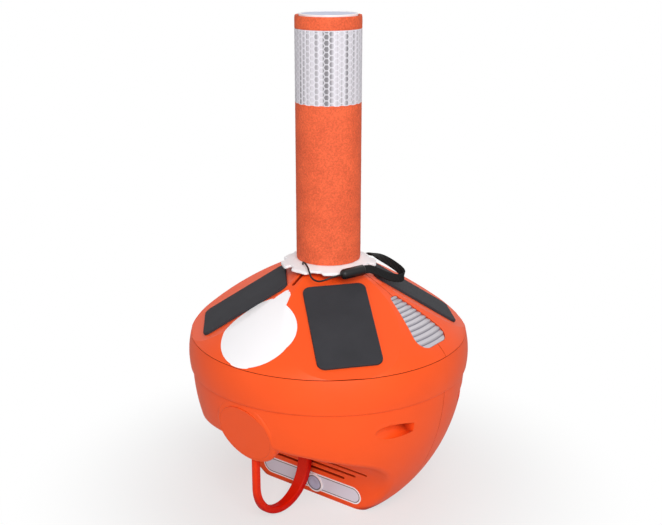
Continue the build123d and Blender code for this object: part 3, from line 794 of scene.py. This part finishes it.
class BuoyBand(bpy.types.Operator):
    """Reflective band: a sheet of honeycomb cells with raised ribs, wrapped round the foam"""
    bl_idname = "buoy.band"
    bl_label = "Reflective band"

    FLUSH = 0.05 * MM            # how far the ribs stay under the foam's face
    THICKNESS = 0.45 * MM

    def execute(self, context):
        start_clean()
        sizes, colours = context.scene.buoy_sizes, context.scene.buoy_colours
        low, high = BAND_LOW.z, BAND_HIGH.z
        radius = MAST_RADIUS - self.FLUSH
        side = 2 * pi * radius / (3 * sizes.cell_pairs)
        pair = 3 * side
        pitch = sqrt(3) * side
        # one cell faces the front with flat top and bottom, its floor let in under a rib
        bpy.ops.mesh.primitive_circle_add(vertices=6, radius=side, fill_type="NGON",
                                          rotation=(pi / 2, pi / 6, 0))
        bpy.ops.object.transform_apply(rotation=True)
        band = context.object
        band.data.materials.append(film_rib(colours))
        band.data.materials.append(prismatic_film(colours))
        bpy.ops.object.mode_set(mode="EDIT")
        bpy.ops.mesh.select_all(action="SELECT")
        bpy.ops.mesh.inset(thickness=sizes.cell_rib / 2, depth=0)
        bpy.ops.mesh.inset(thickness=sizes.cell_depth, depth=-sizes.cell_depth)
        finish_faces(1)
        bpy.ops.object.mode_set(mode="OBJECT")
        # the cell repeats up a column, a second column stands half a cell higher, and the pair repeats
        modify("ARRAY", count=int((high - low) / pitch) + 3, use_relative_offset=False,
               use_constant_offset=True, constant_offset_displace=(0, 0, pitch),
               use_merge_vertices=True, merge_threshold=0.01 * MM)
        bpy.ops.object.duplicate()
        second = context.object
        second.location = (pair / 2, 0, pitch / 2)
        bpy.ops.object.transform_apply(location=True)
        activate(band)
        second.select_set(True)
        bpy.ops.object.join()
        modify("ARRAY", count=sizes.cell_pairs, use_relative_offset=False, use_constant_offset=True,
               constant_offset_displace=(pair, 0, 0))
        band.location = (0, 0, low - pitch)
        bpy.ops.object.transform_apply(location=True)
        bpy.ops.object.mode_set(mode="EDIT")
        bpy.ops.mesh.select_all(action="SELECT")
        bpy.ops.mesh.remove_doubles(threshold=0.02 * MM)
        cut((0, 0, low), clear_inner=True)
        cut((0, 0, high), clear_outer=True)
        # a plain strip at both ends
        edge_low, edge_high = low + sizes.band_edge, high - sizes.band_edge
        cut((0, 0, edge_low))
        cut((0, 0, edge_high))
        choose("faces", lambda f: not edge_low < f.calc_center_median().z < edge_high)
        finish_faces(0)
        bpy.ops.object.mode_set(mode="OBJECT")
        # the sheet is bent round, its first and last columns locked into each other and welded
        across = [v.co.x for v in band.data.vertices]
        turns = (max(across) - min(across)) / (pair * sizes.cell_pairs)
        modify("SIMPLE_DEFORM", deform_method="BEND", deform_axis="Z", angle=2 * pi * turns)
        band.location = (0, -radius, 0)
        bpy.ops.object.transform_apply(location=True)
        band.rotation_euler = (0, 0, pi)
        bpy.ops.object.transform_apply(rotation=True)
        bpy.ops.object.mode_set(mode="EDIT")
        bpy.ops.mesh.select_all(action="SELECT")
        bpy.ops.mesh.remove_doubles(threshold=0.03 * MM)
        # a thickness inwards from its two rims
        choose("edges", lambda e: e.is_boundary)
        bpy.ops.mesh.extrude_region()
        share = 1 - self.THICKNESS / radius
        stretch(x=share, y=share)
        bpy.ops.mesh.bridge_edge_loops()
        bpy.ops.object.mode_set(mode="OBJECT")
        seat(band, "band", [], "band_silver", "mast_band")
        return {"FINISHED"}


class BuoyCollar(bpy.types.Operator):
    """Soft lobed sheet under the mast, its cut edges rounded and its face slightly wavy"""
    bl_idname = "buoy.collar"
    bl_label = "Collar"

    VOXEL = 0.7 * MM
    SMOOTHINGS = 7
    WAVE_SIZE = 13 * MM

    def execute(self, context):
        collar = bpy.data.objects.new("collar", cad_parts["mast_collar"].data.copy())
        collar.data.materials.clear()
        context.scene.collection.objects.link(collar)
        activate(collar)
        bpy.ops.object.mode_set(mode="EDIT")
        bpy.ops.mesh.select_all(action="SELECT")
        bpy.ops.mesh.remove_doubles(threshold=NEAR)
        bpy.ops.object.mode_set(mode="OBJECT")
        modify("REMESH", mode="VOXEL", voxel_size=self.VOXEL)
        modify("SMOOTH", factor=0.5, iterations=self.SMOOTHINGS)
        wave = bpy.data.textures.new("sheet wave", "CLOUDS")
        wave.noise_scale = self.WAVE_SIZE
        modify("DISPLACE", texture=wave, texture_coords="LOCAL", direction="Z", mid_level=0.5,
               strength=context.scene.buoy_sizes.collar_wave)
        bpy.ops.object.shade_smooth()
        seat(collar, "collar", [foam_sheet(context.scene.buoy_colours)], "collar_white", "mast_collar")
        return {"FINISHED"}


class BuoyDecal(bpy.types.Operator):
    """Round blank decal with a pull tongue, laid over the front of the deck"""
    bl_idname = "buoy.decal"
    bl_label = "Deck decal"

    RINGS = 15
    TANGENT_PLACE = Vector((1.9, -110.0, 207.7)) * MM   # on the dome
    AZIMUTH = 1.0                # of that place and of the way up the slope there, in degrees
    SLOPE = 35.95
    SHIFT = Vector((-3.0, -2.0, 30.0)) * MM   # round the buoy, up the slope and off the deck
    # parts of the rim that reach further out: degrees from and to, and how much further. The first is the
    # tab between the two nicks in the lower edge, the second the shoulder left of the tongue.
    REACHES = ((-103, -71, 1.018), (96, 140, 1.06))
    TONGUE_X = 2.0 * MM
    TONGUE_HALF = 9.5 * MM
    TONGUE_LEAN_TO = 5.0 * MM
    # rise in millimetres, share of the width kept
    TONGUE_STEPS = ((3.0, 0.92), (3.4, 0.84), (3.4, 0.80), (3.4, 0.76), (1.6, 0.5))
    # a point of the nearest pad's edge, the way out from that edge, and the room left there
    PAD_EDGE = Vector((-34.78, -89.15, 212.27)) * MM
    PAD_OUT = Vector((0.6566, -0.7531, -0.0421))
    PAD_GAP = 0.25 * MM

    def execute(self, context):
        start_clean()
        sizes, colours = context.scene.buoy_sizes, context.scene.buoy_colours
        radius = sizes.decal_radius
        bpy.ops.mesh.primitive_circle_add(vertices=128, radius=radius, fill_type="NGON")
        decal = context.object
        bpy.ops.object.mode_set(mode="EDIT")
        bpy.ops.mesh.select_all(action="SELECT")
        for _ in range(self.RINGS):
            bpy.ops.mesh.inset(thickness=radius / (self.RINGS + 1), depth=0)

        def on_rim(v):
            return hypot(v.co.x, v.co.y) > 0.99 * radius

        for start, end, reach in self.REACHES:
            choose("verts", lambda v: on_rim(v) and start < degrees(atan2(v.co.y, v.co.x)) < end)
            stretch(x=reach, y=reach)
        choose("edges", lambda e: e.is_boundary and all(abs(v.co.x - self.TONGUE_X) < self.TONGUE_HALF
                                                        and v.co.y > 0 for v in e.verts))
        for rise, keep in self.TONGUE_STEPS:
            bpy.ops.mesh.extrude_region()
            bpy.ops.transform.translate(value=(0, rise * MM, 0))
            stretch(x=keep, about=(self.TONGUE_LEAN_TO, 0, 0))
        bpy.ops.object.mode_set(mode="OBJECT")
        azimuth, slope = radians(self.AZIMUTH), radians(self.SLOPE)
        outward = Vector((sin(azimuth), -cos(azimuth), 0))
        across = Vector((cos(azimuth), sin(azimuth), 0))
        up = -outward * cos(slope) + Vector((0, 0, sin(slope)))
        turn = Matrix((across, up, across.cross(up))).transposed()
        decal.rotation_euler = turn.to_euler()
        decal.location = self.TANGENT_PLACE + turn @ self.SHIFT
        modify("SHRINKWRAP", target=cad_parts["deck_front"], wrap_method="PROJECT", use_project_z=True,
               use_negative_direction=True, use_positive_direction=False, offset=sizes.vinyl + SKIN_GAP)
        bpy.ops.object.transform_apply(location=True, rotation=True)
        bpy.ops.object.mode_set(mode="EDIT")
        cut(self.PAD_EDGE + self.PAD_OUT * self.PAD_GAP, self.PAD_OUT, clear_inner=True)
        bpy.ops.object.mode_set(mode="OBJECT")
        modify("SOLIDIFY", thickness=sizes.vinyl, offset=-1)
        bpy.ops.object.shade_smooth_by_angle(angle=radians(40))
        seat(decal, "deck_decal", [printed_vinyl("decal vinyl", colours.decal)], "tube_white")
        return {"FINISHED"}


class BuoyLabel(bpy.types.Operator):
    """Long blank label on the recess's wall, with a dark line inside its edge, and its round badge"""
    bl_idname = "buoy.label"
    bl_label = "Recess label"

    LEAN = 6.0                   # degrees that the wall leans
    FOOT_Y = -32.35 * MM         # of the wall at the floor
    LABEL_PLACE = (2.2 * MM, 15.9 * MM)   # x and height
    BADGE_PLACE = (7.4 * MM, 14.3 * MM)
    CORNERS = 48                 # of the label's two round ends together
    BORDER = 1.6 * MM
    LINE = 0.9 * MM
    BADGE_DEPTH = 1.2 * MM
    BADGE_GAP = 0.1 * MM         # between the badge and the label
    # the badge's rings going in: width and rise in millimetres, and the finish of what is inside
    BADGE_RINGS = ((1.6, 0, 1), (1.1, -0.2, 2), (2.6, 0.5, 2), (1.0, -0.4, 2))

    def on_wall(self, place, off):
        """The place off the recess's leaning wall."""
        x, z = place
        return (x, self.FOOT_Y - z * tan(radians(self.LEAN)) - off, z)

    def execute(self, context):
        start_clean()
        sizes, colours = context.scene.buoy_sizes, context.scene.buoy_colours
        finishes = [printed_vinyl("label edge", colours.decal), printed_vinyl("printed line", colours.line),
                    printed_vinyl("label face", colours.label)]
        facing = (radians(90 + self.LEAN), 0, 0)
        # half a step of turn leaves a level edge at the top and the bottom, which the halves pull out long
        bpy.ops.mesh.primitive_circle_add(vertices=self.CORNERS, radius=sizes.label_height / 2,
                                          fill_type="NGON", rotation=(0, 0, pi / self.CORNERS))
        bpy.ops.object.transform_apply(rotation=True)
        label = context.object
        for finish in finishes:
            label.data.materials.append(finish)
        bpy.ops.object.mode_set(mode="EDIT")
        half = (sizes.label_length - sizes.label_height) / 2
        for side in (-1, 1):
            choose("verts", lambda v: v.co.x * side > 0)
            bpy.ops.transform.translate(value=(side * half, 0, 0))
        bpy.ops.mesh.select_all(action="SELECT")
        bpy.ops.mesh.inset(thickness=self.BORDER, depth=0)
        finish_faces(1)
        bpy.ops.mesh.inset(thickness=self.LINE, depth=0)
        finish_faces(2)
        bpy.ops.object.mode_set(mode="OBJECT")
        label.rotation_euler = facing
        label.location = self.on_wall(self.LABEL_PLACE, sizes.vinyl + SKIN_GAP)
        modify("SOLIDIFY", thickness=sizes.vinyl, offset=-1)
        seat(label, "recess_label", [], "tube_white")

        start_clean()
        bpy.ops.mesh.primitive_cylinder_add(vertices=64, radius=sizes.badge_radius, depth=self.BADGE_DEPTH)
        badge = context.object
        for finish in finishes[:2] + [plug_plastic(colours)]:
            badge.data.materials.append(finish)
        bpy.ops.object.mode_set(mode="EDIT")
        choose("edges", lambda e: all(v.co.z > 0 for v in e.verts))
        bpy.ops.mesh.bevel(offset=0.3 * MM, segments=3)
        choose("faces", lambda f: f.normal.z > LEVEL)
        for width, rise, finish in self.BADGE_RINGS:
            bpy.ops.mesh.inset(thickness=width * MM, depth=rise * MM)
            finish_faces(finish)
        bpy.ops.object.mode_set(mode="OBJECT")
        bpy.ops.object.shade_smooth_by_angle(angle=radians(30))
        badge.rotation_euler = facing
        off = self.BADGE_DEPTH / 2 + sizes.vinyl + self.BADGE_GAP
        badge.location = self.on_wall(self.BADGE_PLACE, off)
        seat(badge, "recess_badge", [], "plug_grey")
        return {"FINISHED"}


OPERATORS = (
    BuoyStage, BuoyGrip, BuoyCord, BuoyStrap, BuoyMouldings, BuoyFoam, BuoyPlug, BuoyBand, BuoyCollar,
    BuoyDecal, BuoyLabel,
)


class BuoyPanel(bpy.types.Panel):
    """Sizes and colours of the buoy, and the steps that build it"""
    bl_idname = "VIEW3D_PT_buoy"
    bl_label = "Anchor Buoy"
    bl_space_type = "VIEW_3D"
    bl_region_type = "UI"
    bl_category = "Buoy"

    def draw(self, context):
        for title, group in (("Sizes", context.scene.buoy_sizes), ("Colours", context.scene.buoy_colours)):
            box = self.layout.box()
            box.label(text=title)
            for name in type(group).__annotations__:
                box.prop(group, name)
        for step in OPERATORS:
            self.layout.operator(step.bl_idname)


CLASSES = (BuoyColours, BuoySizes, *OPERATORS, BuoyPanel)


def register():
    for item in CLASSES:
        bpy.utils.register_class(item)
    bpy.types.Scene.buoy_colours = PointerProperty(type=BuoyColours)
    bpy.types.Scene.buoy_sizes = PointerProperty(type=BuoySizes)


def unregister():
    del bpy.types.Scene.buoy_sizes
    del bpy.types.Scene.buoy_colours
    for item in reversed(CLASSES):
        bpy.utils.unregister_class(item)


def main():
    register()
    bpy.ops.buoy.stage()
    bpy.ops.buoy.grip()
    bpy.ops.buoy.cord()
    bpy.ops.buoy.strap()
    bpy.ops.buoy.mouldings()
    bpy.ops.buoy.foam()
    bpy.ops.buoy.plug()
    bpy.ops.buoy.band()
    bpy.ops.buoy.collar()
    bpy.ops.buoy.decal()
    bpy.ops.buoy.label()


if __name__ == "__main__":
    main()
